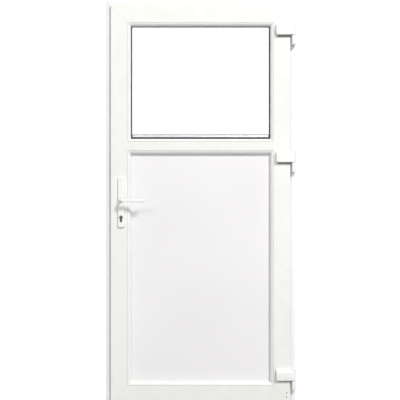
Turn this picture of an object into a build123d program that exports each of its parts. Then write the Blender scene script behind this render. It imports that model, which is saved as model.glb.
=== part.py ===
# A white door set: a frame with a low threshold, and a leaf with a glass pane over a flat panel.
# Millimetres. X runs to the hinge side, Y from the room to the outside, Z up.
# The origin lies under the middle of the threshold.
import os
from build123d import *

os.makedirs("parts", exist_ok=True)

# Frame
frame_width = 980.0
frame_height = 2090.0
frame_depth = 70.0
frame_face = 36.0
stop_height = 20.0
stop_thickness = 13.0
stop_bevel_long = 9.0
stop_bevel_short = 5.0
profile_round = 2.0
tight_round = 1.2

# Gaps between leaf and frame
stop_gap = 5.0
edge_gap = 12.0
seal_gap = 1.0

# Leaf profile
leaf_depth = 70.0
lip_overlap = 8.0
lip_thickness = 13.0
lip_round = 3.0
leaf_face = 88.0
bead_width = 15.0
outer_leg_thickness = 17.0
outer_leg_bevel_long = 17.0
outer_leg_bevel_short = 12.0
leaf_lip_bottom = 22.0
transom_face_bottom = 1317.0
transom_face = 46.0
weld_groove = 1.0

# Grooves for fittings in the leaf's edge and the frame's rebate
groove_width = 16.0
groove_depth = 6.0
frame_groove_depth = 3.0
groove_from_lip = 14.0

# Holes for the frame's fixings through each jamb
fixing_radius = 5.2
fixing_count = 4
fixing_pitch = 530.0
fixing_first_z = 255.0
fixing_from_stop = 17.0

# Glass unit, infill panel, beads and gaskets
unit_thickness = 24.0
unit_edge_gap = 4.0
pane_thickness = 4.0
spacer_depth = 8.0
spacer_side_cover = 9.0
spacer_bottom_cover = 21.0
panel_skin = 1.5
gasket_thickness = 3.0
gasket_cover = 5.0
glass_gasket_nib = 6.0
panel_gasket_nib = 2.0
bead_clearance = 0.3
bead_front_drop = 1.0
bead_flat = 4.0
bead_tip_depth = 6.0
bead_bulge = 4.6
mitre_gap = 0.1

# Blocks that carry and space the glass and the panel
block_length = 100.0
block_from_end = 126.0
side_block_rise = 130.0

# Threshold
threshold_height = 20.0
threshold_base_height = 9.0
threshold_base_inset = 3.0
threshold_stop_height = 35.0
threshold_ramp = 8.0
threshold_ramp_drop = 5.0
rib_count = 8
rib_pitch = 5.0
rib_width = 1.6
rib_depth = 0.8
rib_from_edge = 12.0

# Seals
seal_width = 5.0
seal_round = 1.5
stop_seal_inset = 1.5
lip_seal_inset = 2.0

# Carrier and brushes under the leaf, weather bar outside
carrier_height = 17.0
carrier_end_gap = 6.0
carrier_front_gap = 4.0
carrier_back_gap = 2.0
brush_width = 4.0
brush_from_edge = 6.0
brush_in_carrier = 6.0
weather_bar_end_gap = 9.0
weather_bar_rise = 27.0
weather_bar_height = 34.0
weather_bar_reach = 26.0
weather_bar_nose = 7.0
drip_width = 12.0
drip_depth = 3.5
drip_from_nose = 4.0

# Lock
backset = 35.0
spindle_z = 1059.0
cylinder_drop = 85.0
faceplate_below = 850.0
faceplate_above = 810.0
faceplate_thickness = 3.0
bolt_length = 46.0
bolt_width = 11.0
bolt_depth = 5.0
bolt_clearance = 0.5
hook_offset = 620.0
keep_length = 150.0
keep_width = 26.0
keep_thickness = 2.0
keep_chamfer = 4.0
keep_hole_length = 70.0
keep_hole_width = 13.0
cylinder_radius = 8.5
cylinder_height = 33.0
cylinder_leg = 10.0
cylinder_proud = 2.5
cylinder_clearance = 0.5
plug_radius = 6.6
plug_recess = 0.6
key_slot_width = 2.0
key_slot_height = 8.5
key_slot_depth = 14.0

# Handle
plate_width = 34.0
plate_above = 122.0
plate_below = 137.0
plate_thickness = 11.0
plate_corner = 11.0
plate_edge_chamfer = 3.0
neck_radius = 10.5
neck_clearance = 0.6
neck_in_plate = 6.0
neck_collar = 7.0
lever_stand = 46.0
lever_reach = 127.0
lever_height = 15.0
lever_thickness = 12.0
lever_corner_chamfer = 3.5
lever_bend = 15.0
lever_end_chamfer = 2.0
spindle_size = 8.0
spindle_clearance = 0.3
spindle_in_lever = 24.0
spindle_end_gap = 2.0
spindle_bore_radius = 8.0

# Hinges
axis_from_lip = 16.0
axis_from_face = 7.0
barrel_radius = 11.0
hinge_low_rise = 116.0
hinge_middle_drop = 62.0
hinge_top_drop = 154.0
hinge_gap = 2.0
wing_reach = 91.0
wing_height = 60.0
wing_thickness = 20.0
wing_corner = 10.0
wing_roof_drop = 16.0
wing_roof_depth = 12.0
wing_edge_ease = 1.5
frame_part_height = 49.0
frame_part_chamfer = 2.5
pin_radius = 4.5
pin_clearance = 0.4
pin_in_wing = 34.0
pin_in_frame_part = 30.0
pin_end_gap = 1.0

# How near two depths count as one when edges are picked
same_place = 0.01

# Places that follow from the sizes above
half_width = frame_width / 2
inner_y = -frame_depth / 2
outer_y = frame_depth / 2
stop_y = outer_y - stop_thickness
stop_face = frame_face + stop_height
rebate_half = half_width - frame_face
stop_half = half_width - stop_face
leaf_outer_y = stop_y - stop_gap
leaf_inner_y = leaf_outer_y - leaf_depth
lip_back_y = leaf_inner_y + lip_thickness
lip_x = rebate_half + lip_overlap
leaf_top = frame_height - frame_face + lip_overlap
leaf_height = leaf_top - leaf_lip_bottom
body_inset = lip_overlap + edge_gap
body_x = lip_x - body_inset
groove_y = lip_back_y + groove_from_lip + groove_width / 2
opening_half = lip_x - leaf_face
upper_top = leaf_top - leaf_face
lower_bottom = leaf_lip_bottom + leaf_face
transom_face_top = transom_face_bottom + transom_face
leg_y = leaf_outer_y - outer_leg_thickness
unit_outer_y = leg_y - gasket_thickness
unit_inner_y = unit_outer_y - unit_thickness
bead_back_y = unit_inner_y - gasket_thickness
unit_half = opening_half - unit_edge_gap
spindle_x = backset - body_x
cylinder_z = spindle_z - cylinder_drop
plate_inner_y = leaf_inner_y - plate_thickness
plate_outer_y = leaf_outer_y + plate_thickness
hinge_x = lip_x + axis_from_lip
hinge_y = leaf_inner_y - axis_from_face
hinge_splits = (
    leaf_lip_bottom + hinge_low_rise,
    transom_face_bottom - hinge_middle_drop,
    leaf_top - hinge_top_drop,
)
bolt_heights = (spindle_z - hook_offset, spindle_z, spindle_z + hook_offset)
UP = Vector(0, 0, 1)
DOWN = Vector(0, 0, -1)
RIGHT = Vector(1, 0, 0)
LEFT = Vector(-1, 0, 0)


def save(builder, label):
    """Names the finished piece and writes it."""
    builder.part.label = label
    export_step(builder.part, f"parts/{label}.step")


def section_plane(corner, inward, along):
    """A plane across a profile: local x runs inward from its edge, local y to the outside."""
    return Plane(origin=corner, x_dir=inward, z_dir=along)


def mitre_start(corner, inward, along, gap=0.0):
    """Cuts the first end of the profile being built to 45 degrees."""
    split(bisect_by=Plane(origin=corner + along * gap, z_dir=along - inward), keep=Keep.TOP)


def mitre_end(corner, inward, along, length, gap=0.0):
    """Cuts the last end of the profile being built to 45 degrees."""
    far = corner + along * (length - gap)
    split(bisect_by=Plane(origin=far, z_dir=-along - inward), keep=Keep.TOP)


def round_corner(section, point, radius):
    """Rounds the corner of the section being drawn that lies at this point."""
    fillet(section.vertices().sort_by_distance(point)[0], radius)


def box_between(x_range, y_range, z_range, mode=Mode.ADD):
    """A block between two values on each axis."""
    size = (x_range[1] - x_range[0], y_range[1] - y_range[0], z_range[1] - z_range[0])
    middle = (sum(x_range) / 2, sum(y_range) / 2, sum(z_range) / 2)
    with Locations(middle):
        Box(*size, mode=mode)


def edge_slot(inset, depth):
    """Takes the groove for fittings out of the profile being drawn."""
    with Locations((inset + depth / 2, groove_y)):
        Rectangle(depth, groove_width, mode=Mode.SUBTRACT)


def frame_section(section):
    """Frame profile with its outer stop and rebate groove."""
    with BuildLine() as outline:
        Polyline(
            (0, inner_y),
            (frame_face, inner_y),
            (frame_face, stop_y),
            (stop_face, stop_y),
            (stop_face, outer_y - stop_bevel_short),
            (stop_face - stop_bevel_long, outer_y),
            (0, outer_y),
            close=True,
        )
    make_face(outline.edges())
    round_corner(section, (frame_face, inner_y), profile_round)
    round_corner(section, (stop_face, stop_y), tight_round)
    round_corner(section, (stop_face, outer_y - stop_bevel_short), profile_round)
    edge_slot(frame_face - frame_groove_depth, frame_groove_depth)


def leaf_section(section):
    """Leaf profile: overlapping lip, body, glazing rebate and outer leg."""
    leg_tip = leaf_face + bead_width
    bevel_y = leaf_outer_y - outer_leg_bevel_short
    with BuildLine() as outline:
        Polyline(
            (0, leaf_inner_y),
            (leaf_face, leaf_inner_y),
            (leaf_face, leg_y),
            (leg_tip, leg_y),
            (leg_tip, bevel_y),
            (leg_tip - outer_leg_bevel_long, leaf_outer_y),
            (body_inset, leaf_outer_y),
            (body_inset, lip_back_y),
            (0, lip_back_y),
            close=True,
        )
    make_face(outline.edges())
    round_corner(section, (0, leaf_inner_y), lip_round)
    round_corner(section, (leaf_face, leaf_inner_y), tight_round)
    round_corner(section, (leg_tip, bevel_y), profile_round)
    round_corner(section, (body_inset, leaf_outer_y), tight_round)
    edge_slot(body_inset, groove_depth)


def bead_section(section):
    """Glazing bead with a swelling face, measured from the rebate's edge."""
    front_y = leaf_inner_y + bead_front_drop
    tip_y = bead_back_y - bead_tip_depth
    middle = ((bead_flat + bead_width) / 2, (front_y + tip_y) / 2)
    with BuildLine() as outline:
        Polyline(
            (bead_width, tip_y),
            (bead_width, bead_back_y),
            (bead_clearance, bead_back_y),
            (bead_clearance, front_y),
            (bead_flat, front_y),
        )
        swell = (middle[0] + bead_bulge / 2, middle[1] - bead_bulge / 2)
        ThreePointArc((bead_flat, front_y), swell, (bead_width, tip_y))
    make_face(outline.edges())
    round_corner(section, (bead_clearance, front_y), tight_round)


def strip_section(inset, width, y_low, y_high):
    """Rectangular strip that runs round an opening."""
    with Locations((inset + width / 2, (y_low + y_high) / 2)):
        Rectangle(width, y_high - y_low)


def gasket_section(section, nib, y_bead, y_unit):
    """Gasket that a bead or leg at one depth presses on the glass or panel at the other."""
    y_low, y_high = sorted((y_bead, y_unit))
    strip_section(bead_width - gasket_cover, gasket_cover + nib, y_low, y_high)
    round_corner(section, (bead_width + nib, y_bead), tight_round)


def stop_seal_section(section):
    """Seal on the frame's stop, which the leaf's outer face meets."""
    inset = stop_height - stop_seal_inset - seal_width
    strip_section(inset, seal_width, leaf_outer_y + seal_gap, stop_y)
    round_corner(section, (inset + seal_width, leaf_outer_y + seal_gap), seal_round)
    round_corner(section, (inset, leaf_outer_y + seal_gap), seal_round)


def lip_seal_section(section):
    """Seal behind the leaf's lip, which meets the frame's room side."""
    strip_section(lip_seal_inset, seal_width, lip_back_y, inner_y - seal_gap)
    round_corner(section, (lip_seal_inset, inner_y - seal_gap), seal_round)
    round_corner(section, (lip_seal_inset + seal_width, inner_y - seal_gap), seal_round)


def run_side(draw, name, half, z_low, z_high):
    """One side of a run round a rectangle centred on the door, cut to 45 degrees."""
    height = z_high - z_low
    corner, inward, along, length = {
        "lock": (Vector(-half, 0, z_low), RIGHT, UP, height),
        "hinge": (Vector(half, 0, z_high), LEFT, DOWN, height),
        "top": (Vector(-half, 0, z_high), DOWN, RIGHT, 2 * half),
        "bottom": (Vector(half, 0, z_low), UP, LEFT, 2 * half),
    }[name]
    with BuildPart() as side:
        with BuildSketch(section_plane(corner, inward, along)) as section:
            draw(section)
        extrude(amount=length)
        mitre_start(corner, inward, along, mitre_gap)
        mitre_end(corner, inward, along, length, mitre_gap)
    return side.part


def run_round(draw, half, z_low, z_high):
    """All four sides of such a run."""
    with BuildPart() as whole:
        for name in ("lock", "top", "hinge", "bottom"):
            add(run_side(draw, name, half, z_low, z_high))
    return whole.part


def fixing_holes(x_low):
    """Takes the row of fixing holes out of the jamb that starts at this X."""
    middle_z = fixing_first_z + fixing_pitch * (fixing_count - 1) / 2
    row_y = stop_y - fixing_from_stop
    across = Plane(origin=(x_low, row_y, middle_z), x_dir=(0, 1, 0), z_dir=(1, 0, 0))
    with BuildSketch(across) as holes:
        with GridLocations(1, fixing_pitch, 1, fixing_count):
            Circle(fixing_radius)
    extrude(holes.sketch, amount=frame_face, mode=Mode.SUBTRACT)


# Frame profiles, mitred at the head
with BuildPart() as frame_jamb_lock_side:
    corner = Vector(-half_width, 0, 0)
    with BuildSketch(section_plane(corner, RIGHT, UP)) as section:
        frame_section(section)
    extrude(amount=frame_height)
    mitre_end(corner, RIGHT, UP, frame_height)
    fixing_holes(-half_width)
save(frame_jamb_lock_side, "frame_jamb_lock_side")

with BuildPart() as frame_jamb_hinge_side:
    corner = Vector(half_width, 0, frame_height)
    with BuildSketch(section_plane(corner, LEFT, DOWN)) as section:
        frame_section(section)
    extrude(amount=frame_height)
    mitre_start(corner, LEFT, DOWN)
    fixing_holes(rebate_half)
save(frame_jamb_hinge_side, "frame_jamb_hinge_side")

with BuildPart() as frame_head:
    corner = Vector(-half_width, 0, frame_height)
    with BuildSketch(section_plane(corner, DOWN, RIGHT)) as section:
        frame_section(section)
    extrude(amount=frame_width)
    mitre_start(corner, DOWN, RIGHT)
    mitre_end(corner, DOWN, RIGHT, frame_width)
save(frame_head, "frame_head")

# Threshold: a metal rail with a ribbed tread and an outer stop, on a plastic base
with BuildPart() as threshold_base:
    base_front = inner_y + threshold_base_inset
    base_back = outer_y - threshold_base_inset
    box_between((-rebate_half, rebate_half), (base_front, stop_y), (0, threshold_base_height))
    box_between((-stop_half, stop_half), (stop_y, base_back), (0, threshold_base_height))
save(threshold_base, "threshold_base")

with BuildPart() as threshold_rail:
    with BuildSketch(Plane.YZ.offset(-rebate_half)):
        with BuildLine():
            Polyline(
                (inner_y, threshold_base_height),
                (inner_y, threshold_height - threshold_ramp_drop),
                (inner_y + threshold_ramp, threshold_height),
                (stop_y, threshold_height),
                (stop_y, threshold_stop_height),
                (outer_y - stop_bevel_short, threshold_stop_height),
                (outer_y, threshold_stop_height - stop_bevel_long),
                (outer_y, threshold_base_height),
                close=True,
            )
        make_face()
        rib_middle = inner_y + rib_from_edge + rib_pitch * (rib_count - 1) / 2
        with Locations((rib_middle, threshold_height)):
            with GridLocations(rib_pitch, 1, rib_count, 1):
                Rectangle(rib_width, 2 * rib_depth, mode=Mode.SUBTRACT)
    extrude(amount=2 * rebate_half)
    for end in ((-rebate_half, -stop_half), (stop_half, rebate_half)):
        box_between(end, (stop_y, outer_y), (0, threshold_stop_height), mode=Mode.SUBTRACT)
save(threshold_rail, "threshold_rail")

with BuildPart() as frame_stop_seal:
    seal_low = threshold_stop_height - stop_height
    add(run_round(stop_seal_section, rebate_half, seal_low, frame_height - frame_face))
save(frame_stop_seal, "frame_stop_seal")


# Leaf profiles, welded at the corners
def weld_line(corner, toward, y):
    """Cuts the fine groove that a trimmed weld leaves along one mitre."""
    across = Plane(origin=corner + Vector(0, y, 0), z_dir=toward)
    with BuildSketch(across) as groove:
        Rectangle(weld_groove, weld_groove, rotation=45)
    extrude(groove.sketch, amount=2 * (leaf_face + bead_width), mode=Mode.SUBTRACT)


def leaf_member(corner, inward, along, length):
    """One side of the leaf with its mitres and weld lines."""
    with BuildPart() as member:
        with BuildSketch(section_plane(corner, inward, along)) as section:
            leaf_section(section)
        extrude(amount=length)
        mitre_start(corner, inward, along)
        mitre_end(corner, inward, along, length)
        for y in (leaf_inner_y, leaf_outer_y):
            weld_line(corner, inward + along, y)
            weld_line(corner + along * length, inward - along, y)
    return member.part


def lock_plane(y, z):
    """A plane facing the room on the handle's upright line."""
    return Plane(origin=(spindle_x, y, z), x_dir=(1, 0, 0), z_dir=(0, -1, 0))


def profile_cylinder_shape(clearance):
    """Key-shaped outline of the lock cylinder, grown by a clearance."""
    leg_drop = cylinder_height - cylinder_radius - cylinder_leg / 2
    Circle(cylinder_radius + clearance)
    with Locations((0, -leg_drop / 2)):
        Rectangle(cylinder_leg + 2 * clearance, leg_drop)
    with Locations((0, -leg_drop)):
        Circle(cylinder_leg / 2 + clearance)


with BuildPart() as leaf_stile_lock_side:
    add(leaf_member(Vector(-lip_x, 0, leaf_lip_bottom), RIGHT, UP, leaf_height))
    with BuildSketch(lock_plane(leaf_outer_y, spindle_z)):
        Circle(spindle_bore_radius)
    extrude(amount=leaf_depth, mode=Mode.SUBTRACT)
    with BuildSketch(lock_plane(leaf_outer_y, cylinder_z)):
        profile_cylinder_shape(cylinder_clearance)
    extrude(amount=leaf_depth, mode=Mode.SUBTRACT)
save(leaf_stile_lock_side, "leaf_stile_lock_side")

with BuildPart() as leaf_stile_hinge_side:
    add(leaf_member(Vector(lip_x, 0, leaf_top), LEFT, DOWN, leaf_height))
save(leaf_stile_hinge_side, "leaf_stile_hinge_side")

with BuildPart() as leaf_rail_top:
    add(leaf_member(Vector(-lip_x, 0, leaf_top), DOWN, RIGHT, 2 * lip_x))
save(leaf_rail_top, "leaf_rail_top")

with BuildPart() as leaf_rail_bottom:
    add(leaf_member(Vector(lip_x, 0, leaf_lip_bottom), UP, LEFT, 2 * lip_x))
save(leaf_rail_bottom, "leaf_rail_bottom")

with BuildPart() as leaf_transom:
    leg_low = transom_face_bottom - bead_width
    leg_high = transom_face_top + bead_width
    bevel_y = leaf_outer_y - outer_leg_bevel_short
    with BuildSketch(Plane.YZ.offset(-opening_half)) as section:
        with BuildLine():
            Polyline(
                (leaf_inner_y, transom_face_bottom),
                (leg_y, transom_face_bottom),
                (leg_y, leg_low),
                (bevel_y, leg_low),
                (leaf_outer_y, leg_low + outer_leg_bevel_long),
                (leaf_outer_y, leg_high - outer_leg_bevel_long),
                (bevel_y, leg_high),
                (leg_y, leg_high),
                (leg_y, transom_face_top),
                (leaf_inner_y, transom_face_top),
                close=True,
            )
        make_face()
        round_corner(section, (leaf_inner_y, transom_face_bottom), tight_round)
        round_corner(section, (leaf_inner_y, transom_face_top), tight_round)
        round_corner(section, (bevel_y, leg_low), profile_round)
        round_corner(section, (bevel_y, leg_high), profile_round)
    extrude(amount=2 * opening_half)
    add(leaf_stile_lock_side.part, mode=Mode.SUBTRACT)
    add(leaf_stile_hinge_side.part, mode=Mode.SUBTRACT)
save(leaf_transom, "leaf_transom")

# Beads and gaskets round the glass above and the panel below
for place, nib, z_low, z_high in (
    ("upper", glass_gasket_nib, transom_face_top, upper_top),
    ("lower", panel_gasket_nib, lower_bottom, transom_face_bottom),
):
    with BuildPart() as beads_sides:
        add(run_side(bead_section, "lock", opening_half, z_low, z_high))
        add(run_side(bead_section, "hinge", opening_half, z_low, z_high))
    save(beads_sides, f"beads_{place}_sides")

    with BuildPart() as beads_ends:
        add(run_side(bead_section, "top", opening_half, z_low, z_high))
        add(run_side(bead_section, "bottom", opening_half, z_low, z_high))
    save(beads_ends, f"beads_{place}_ends")

    for side, y_bead, y_unit in (
        ("inside", bead_back_y, unit_inner_y),
        ("outside", leg_y, unit_outer_y),
    ):
        with BuildPart() as gasket:
            add(run_round(
                lambda section: gasket_section(section, nib, y_bead, y_unit),
                opening_half,
                z_low,
                z_high,
            ))
        save(gasket, f"gasket_{side}_{place}")

# Glass unit: two panes on a metal spacer
glass_z = (transom_face_top + unit_edge_gap, upper_top - unit_edge_gap)
unit_x = (-unit_half, unit_half)
inner_pane_y = (unit_inner_y, unit_inner_y + pane_thickness)
outer_pane_y = (unit_outer_y - pane_thickness, unit_outer_y)

with BuildPart() as glass_pane_inside:
    box_between(unit_x, inner_pane_y, glass_z)
save(glass_pane_inside, "glass_pane_inside")

with BuildPart() as glass_pane_outside:
    box_between(unit_x, outer_pane_y, glass_z)
save(glass_pane_outside, "glass_pane_outside")

with BuildPart() as glass_spacer:
    spacer_half = unit_half - spacer_side_cover
    spacer_z = (glass_z[0] + spacer_bottom_cover, glass_z[1] - spacer_side_cover)
    spacer_y = (inner_pane_y[1], outer_pane_y[0])
    sight_z = (spacer_z[0] + spacer_depth, spacer_z[1] - spacer_depth)
    sight_half = spacer_half - spacer_depth
    box_between((-spacer_half, spacer_half), spacer_y, spacer_z)
    box_between((-sight_half, sight_half), spacer_y, sight_z, mode=Mode.SUBTRACT)
save(glass_spacer, "glass_spacer")

# Flat infill panel: two skins on a foam core
panel_z = (lower_bottom + unit_edge_gap, transom_face_bottom - unit_edge_gap)

with BuildPart() as panel_skins:
    box_between(unit_x, (unit_inner_y, unit_inner_y + panel_skin), panel_z)
    box_between(unit_x, (unit_outer_y - panel_skin, unit_outer_y), panel_z)
save(panel_skins, "panel_skins")

with BuildPart() as panel_core:
    box_between(unit_x, (unit_inner_y + panel_skin, unit_outer_y - panel_skin), panel_z)
save(panel_core, "panel_core")

with BuildPart() as setting_blocks:
    block_y = (unit_inner_y, unit_outer_y)
    block_middle = unit_half - block_from_end
    for low in (transom_face_top, lower_bottom):
        for middle in (-block_middle, block_middle):
            block_x = (middle - block_length / 2, middle + block_length / 2)
            box_between(block_x, block_y, (low, low + unit_edge_gap))
        start = low + side_block_rise
        box_between((unit_half, opening_half), block_y, (start, start + block_length))
    for high in (upper_top, transom_face_bottom):
        end = high - side_block_rise
        box_between((-opening_half, -unit_half), block_y, (end - block_length, end))
save(setting_blocks, "setting_blocks")

# Seal, carrier and brushes at the leaf's edges
with BuildPart() as leaf_lip_seal:
    add(run_round(lip_seal_section, lip_x, leaf_lip_bottom, leaf_top))
save(leaf_lip_seal, "leaf_lip_seal")

body_bottom = leaf_lip_bottom + body_inset
carrier_low = body_bottom - carrier_height
carrier_half = body_x - carrier_end_gap
carrier_x = (-carrier_half, carrier_half)
carrier_y = (lip_back_y + carrier_front_gap, leaf_outer_y - carrier_back_gap)
front_brush = carrier_y[0] + brush_from_edge
back_brush = carrier_y[1] - brush_from_edge - brush_width
brush_top = carrier_low + brush_in_carrier

with BuildPart() as bottom_seal_carrier:
    box_between(carrier_x, carrier_y, (carrier_low, body_bottom))
    for start in (front_brush, back_brush):
        slot_y = (start, start + brush_width)
        box_between(carrier_x, slot_y, (carrier_low, brush_top), mode=Mode.SUBTRACT)
save(bottom_seal_carrier, "bottom_seal_carrier")

with BuildPart() as bottom_brushes:
    for start in (front_brush, back_brush):
        brush_z = (threshold_height + seal_gap, brush_top)
        box_between(carrier_x, (start, start + brush_width), brush_z)
save(bottom_brushes, "bottom_brushes")

with BuildPart() as weather_bar:
    bar_half = stop_half - weather_bar_end_gap
    bar_low = leaf_lip_bottom + weather_bar_rise
    nose_y = leaf_outer_y + weather_bar_reach
    with BuildSketch(Plane.YZ.offset(-bar_half)) as section:
        with BuildLine():
            Polyline(
                (leaf_outer_y, bar_low),
                (nose_y, bar_low),
                (nose_y, bar_low + weather_bar_nose),
                (leaf_outer_y, bar_low + weather_bar_height),
                close=True,
            )
        make_face()
        round_corner(section, (nose_y, bar_low + weather_bar_nose), profile_round)
        with Locations((nose_y - drip_from_nose - drip_width / 2, bar_low)):
            Rectangle(drip_width, 2 * drip_depth, mode=Mode.SUBTRACT)
    extrude(amount=2 * bar_half)
save(weather_bar, "weather_bar")

# Lock: faceplate, bolts drawn back, keeps and cylinder
edge_x = -body_x
bolt_y = (groove_y - bolt_width / 2, groove_y + bolt_width / 2)

with BuildPart() as lock_faceplate:
    strip_x = (edge_x, edge_x + faceplate_thickness)
    strip_y = (groove_y - groove_width / 2, groove_y + groove_width / 2)
    strip_z = (spindle_z - faceplate_below, spindle_z + faceplate_above)
    box_between(strip_x, strip_y, strip_z)
    for z in bolt_heights:
        slot_y = (bolt_y[0] - bolt_clearance, bolt_y[1] + bolt_clearance)
        slot_half = bolt_length / 2 + bolt_clearance
        box_between(strip_x, slot_y, (z - slot_half, z + slot_half), mode=Mode.SUBTRACT)
save(lock_faceplate, "lock_faceplate")

with BuildPart() as lock_bolts:
    bolt_x = (edge_x + groove_depth - bolt_depth, edge_x + groove_depth)
    for z in bolt_heights:
        box_between(bolt_x, bolt_y, (z - bolt_length / 2, z + bolt_length / 2))
save(lock_bolts, "lock_bolts")

with BuildPart() as keep_plates:
    for z in bolt_heights:
        face = Plane(origin=(-rebate_half, groove_y, z), x_dir=(0, 1, 0), z_dir=(1, 0, 0))
        with BuildSketch(face):
            corners = Rectangle(keep_width, keep_length).vertices()
            chamfer(corners, keep_chamfer)
            Rectangle(keep_hole_width, keep_hole_length, mode=Mode.SUBTRACT)
        extrude(amount=keep_thickness)
save(keep_plates, "keep_plates")

with BuildPart() as lock_cylinder:
    cylinder_front = plate_inner_y - cylinder_proud
    cylinder_back = plate_outer_y + cylinder_proud
    with BuildSketch(lock_plane(cylinder_back, cylinder_z)):
        profile_cylinder_shape(0)
    extrude(amount=cylinder_back - cylinder_front)
    for y, depth in ((cylinder_front, -1), (cylinder_back, 1)):
        with BuildSketch(lock_plane(y, cylinder_z)):
            Circle(plug_radius)
        extrude(amount=depth * plug_recess, mode=Mode.SUBTRACT)
        with BuildSketch(lock_plane(y, cylinder_z)):
            Rectangle(key_slot_width, key_slot_height)
        extrude(amount=depth * key_slot_depth, mode=Mode.SUBTRACT)
save(lock_cylinder, "lock_cylinder")


# Handle: a long plate and a lever on each side, on one square spindle
def handle_plate(face_y, outward):
    """A long plate on one face of the leaf with its neck bore and cylinder cut-out."""
    base = Plane(origin=(spindle_x, face_y, spindle_z), x_dir=(-outward, 0, 0), z_dir=(0, outward, 0))
    with BuildPart() as body:
        with BuildSketch(base):
            with Locations((0, (plate_above - plate_below) / 2)):
                RectangleRounded(plate_width, plate_above + plate_below, plate_corner)
        extrude(amount=plate_thickness)
        front = body.faces().sort_by(Axis.Y)[-1 if outward > 0 else 0]
        chamfer(front.edges(), plate_edge_chamfer)
        with BuildSketch(base):
            Circle(neck_radius + neck_clearance)
        extrude(amount=plate_thickness, mode=Mode.SUBTRACT)
        with BuildSketch(base):
            with Locations((0, -cylinder_drop)):
                profile_cylinder_shape(cylinder_clearance)
        extrude(amount=plate_thickness, mode=Mode.SUBTRACT)
    return body.part


with BuildPart() as handle_plate_inside:
    add(handle_plate(leaf_inner_y, -1))
save(handle_plate_inside, "handle_plate_inside")

with BuildPart() as handle_plate_outside:
    add(handle_plate(leaf_outer_y, 1))
save(handle_plate_outside, "handle_plate_outside")


def lever(plate_y, outward):
    """A lever: a round neck, a bend, and a flat grip across the door."""
    root = Vector(spindle_x, plate_y - outward * neck_in_plate, spindle_z)
    bend_start = Vector(spindle_x, plate_y + outward * (lever_stand - lever_bend), spindle_z)
    bend_end = bend_start + Vector(lever_bend, outward * lever_bend, 0)
    grip_end = Vector(spindle_x + lever_reach, bend_end.Y, spindle_z)
    out = Vector(0, outward, 0)
    base = Plane(origin=root, x_dir=(1, 0, 0), z_dir=out)
    with BuildPart() as body:
        with BuildLine():
            Line(root, bend_start)
            TangentArc(bend_start, bend_end, tangent=out)
            Line(bend_end, grip_end)
        with BuildSketch(base):
            corners = Rectangle(lever_thickness, lever_height).vertices()
            chamfer(corners, lever_corner_chamfer)
        sweep()
        tip = body.faces().sort_by(Axis.X)[-1]
        chamfer(tip.edges(), lever_end_chamfer)
        with BuildSketch(base):
            Circle(neck_radius)
        extrude(amount=neck_in_plate + neck_collar)
        with BuildSketch(base):
            Rectangle(spindle_size + 2 * spindle_clearance, spindle_size + 2 * spindle_clearance)
        extrude(amount=spindle_in_lever, mode=Mode.SUBTRACT)
    return body.part


with BuildPart() as lever_inside:
    add(lever(plate_inner_y, -1))
save(lever_inside, "lever_inside")

with BuildPart() as lever_outside:
    add(lever(plate_outer_y, 1))
save(lever_outside, "lever_outside")

with BuildPart() as handle_spindle:
    reach = spindle_in_lever - neck_in_plate - spindle_end_gap
    half = spindle_size / 2
    span_y = (plate_inner_y - reach, plate_outer_y + reach)
    box_between((spindle_x - half, spindle_x + half), span_y, (spindle_z - half, spindle_z + half))
save(handle_spindle, "handle_spindle")

# Hinges: a wing on the leaf turns above a barrel on the frame
axis_plane = Plane(origin=(hinge_x, hinge_y, 0), x_dir=(1, 0, 0), z_dir=(0, 0, 1))
split_places = [Location((0, 0, z)) for z in hinge_splits]

with BuildPart() as wing:
    low = hinge_gap / 2
    front_y = leaf_inner_y - wing_thickness
    face = Plane(origin=(hinge_x - wing_reach, leaf_inner_y, low), x_dir=RIGHT, z_dir=(0, -1, 0))
    with BuildSketch(face) as outline:
        with Locations((wing_reach / 2, wing_height / 2)):
            Rectangle(wing_reach, wing_height)
        fillet(outline.vertices().group_by(Axis.X)[0], wing_corner)
    extrude(amount=wing_thickness)
    with BuildSketch(Plane.YZ.offset(hinge_x - wing_reach)):
        with BuildLine():
            Polyline(
                (leaf_inner_y, low),
                (front_y + wing_edge_ease, low),
                (front_y, low + wing_edge_ease),
                (front_y, low + wing_height - wing_roof_drop),
                (front_y + wing_roof_depth, low + wing_height),
                (leaf_inner_y, low + wing_height),
                close=True,
            )
        make_face()
    extrude(amount=wing_reach, mode=Mode.INTERSECT)
    with BuildSketch(axis_plane.offset(low)):
        Circle(barrel_radius)
    extrude(amount=wing_height - wing_roof_drop / 2)
    with BuildSketch(axis_plane.offset(low)):
        Circle(pin_radius + pin_clearance)
    extrude(amount=pin_in_wing + pin_clearance, mode=Mode.SUBTRACT)

with BuildPart() as hinge_leaf_parts:
    with Locations(*split_places):
        add(wing.part)
save(hinge_leaf_parts, "hinge_leaf_parts")

with BuildPart() as barrel_and_foot:
    low = -hinge_gap / 2 - frame_part_height
    foot = inner_y - hinge_y
    with BuildSketch(axis_plane.offset(low)):
        Circle(barrel_radius)
        with Locations((0, foot / 2)):
            Rectangle(2 * barrel_radius, foot)
    extrude(amount=frame_part_height)
    bottom_face = barrel_and_foot.faces().sort_by(Axis.Z)[0]
    nose = bottom_face.edges().filter_by(lambda edge: edge.center().Y < inner_y - same_place)
    chamfer(nose, frame_part_chamfer)
    with BuildSketch(axis_plane.offset(-hinge_gap / 2)):
        Circle(pin_radius)
    extrude(amount=-pin_in_frame_part, mode=Mode.SUBTRACT)

with BuildPart() as hinge_frame_parts:
    with Locations(*split_places):
        add(barrel_and_foot.part)
save(hinge_frame_parts, "hinge_frame_parts")

with BuildPart() as hinge_pins:
    for z in hinge_splits:
        low = z - hinge_gap / 2 - pin_in_frame_part
        with BuildSketch(axis_plane.offset(low)):
            Circle(pin_radius)
        extrude(amount=pin_in_frame_part + hinge_gap + pin_in_wing - pin_end_gap)
save(hinge_pins, "hinge_pins")
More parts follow.
